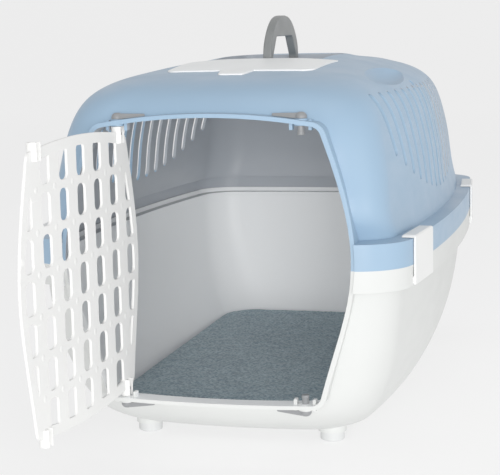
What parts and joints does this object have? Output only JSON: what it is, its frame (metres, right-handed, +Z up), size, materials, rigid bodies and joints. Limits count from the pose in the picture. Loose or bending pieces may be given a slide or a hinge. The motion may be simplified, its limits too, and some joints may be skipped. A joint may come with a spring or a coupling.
{
  "type": "pet transport carrier",
  "caption": "Two-shell pet carrier with a swinging grille door, turning latches, side clips, a folding handle, a roof lid and a floor mat.",
  "frame": {"origin": "on the floor under the middle of the tub, midway between the sides", "axes": "+Z up, -Y is the doorway end, +X is to the viewer's right when facing the doorway"},
  "size_m": [0.3982, 0.7963, 0.417],
  "materials": {
    "tub_white": "satin moulded",
    "shell_blue": "satin moulded",
    "door_white": "satin moulded",
    "clip_white": "satin moulded",
    "lid_white": "satin moulded",
    "handle_grey": "satin moulded",
    "latch_grey": "satin moulded",
    "mat_carpet": "heathered pile carpet",
    "foot_rubber": "matt",
    "pin_steel": "drawn wire"
  },
  "bodies": {
    "carrier": {"base_tub": "tub_white", "top_shell": "shell_blue", "floor_mat": "mat_carpet", "handle_pin_front": "pin_steel", "handle_pin_rear": "pin_steel", "lid_hinge_pin": "pin_steel", "foot_front_left": "foot_rubber", "foot_front_right": "foot_rubber", "foot_rear_left": "foot_rubber", "foot_rear_right": "foot_rubber", "clip_pin_front_left": "pin_steel", "clip_pin_front_right": "pin_steel", "clip_pin_rear_left": "pin_steel", "clip_pin_rear_right": "pin_steel"},
    "door": {"door_grille": "door_white"},
    "handle": {"carry_handle": "handle_grey"},
    "lid": {"roof_lid": "lid_white"},
    "latch_top_left": {"latch_top_left": "latch_grey"},
    "latch_top_right": {"latch_top_right": "latch_grey"},
    "latch_bottom_left": {"latch_bottom_left": "latch_grey"},
    "latch_bottom_right": {"latch_bottom_right": "latch_grey"},
    "clip_front_left": {"side_clip_front_left": "clip_white"},
    "clip_front_right": {"side_clip_front_right": "clip_white"},
    "clip_rear_left": {"side_clip_rear_left": "clip_white"},
    "clip_rear_right": {"side_clip_rear_right": "clip_white"}
  },
  "joints": [
    {"name": "clip_front_left_pivot", "type": "hinge", "parent": "carrier", "child": "clip_front_left", "pos_m": [-0.18459, -0.22353, 0.1735], "axis": [0.0943, -0.9955, 0], "range_deg": [0, 90]},
    {"name": "clip_front_right_pivot", "type": "hinge", "parent": "carrier", "child": "clip_front_right", "pos_m": [0.18459, -0.22353, 0.1735], "axis": [0.0943, 0.9955, 0], "range_deg": [0, 90]},
    {"name": "clip_rear_left_pivot", "type": "hinge", "parent": "carrier", "child": "clip_rear_left", "pos_m": [-0.18406, 0.18452, 0.1735], "axis": [-0.0968, -0.9953, 0], "range_deg": [0, 90]},
    {"name": "clip_rear_right_pivot", "type": "hinge", "parent": "carrier", "child": "clip_rear_right", "pos_m": [0.18406, 0.18452, 0.1735], "axis": [-0.0968, 0.9953, 0], "range_deg": [0, 90]},
    {"name": "door_swing", "type": "hinge", "parent": "carrier", "child": "door", "pos_m": [-0.088, -0.279, 0.188], "axis": [0, 0, 1], "range_deg": [-25, 93]},
    {"name": "latch_top_left_turn", "type": "hinge", "parent": "carrier", "child": "latch_top_left", "pos_m": [-0.088, -0.279, 0.325], "axis": [0, 0, 1], "range_deg": [-90, 0]},
    {"name": "latch_top_right_turn", "type": "hinge", "parent": "carrier", "child": "latch_top_right", "pos_m": [0.088, -0.279, 0.325], "axis": [0, 0, 1], "range_deg": [0, 90]},
    {"name": "latch_bottom_left_turn", "type": "hinge", "parent": "carrier", "child": "latch_bottom_left", "pos_m": [-0.088, -0.279, 0.049], "axis": [0, 0, 1], "range_deg": [-90, 0]},
    {"name": "latch_bottom_right_turn", "type": "hinge", "parent": "carrier", "child": "latch_bottom_right", "pos_m": [0.088, -0.279, 0.049], "axis": [0, 0, 1], "range_deg": [0, 90]},
    {"name": "handle_fold", "type": "hinge", "parent": "carrier", "child": "handle", "pos_m": [0, 0.0115, 0.363], "axis": [0, 1, 0], "range_deg": [-86, 86]},
    {"name": "lid_lift", "type": "hinge", "parent": "carrier", "child": "lid", "pos_m": [0, -0.067, 0.3695], "axis": [-1, 0, 0], "range_deg": [0, 75]}
  ]
}
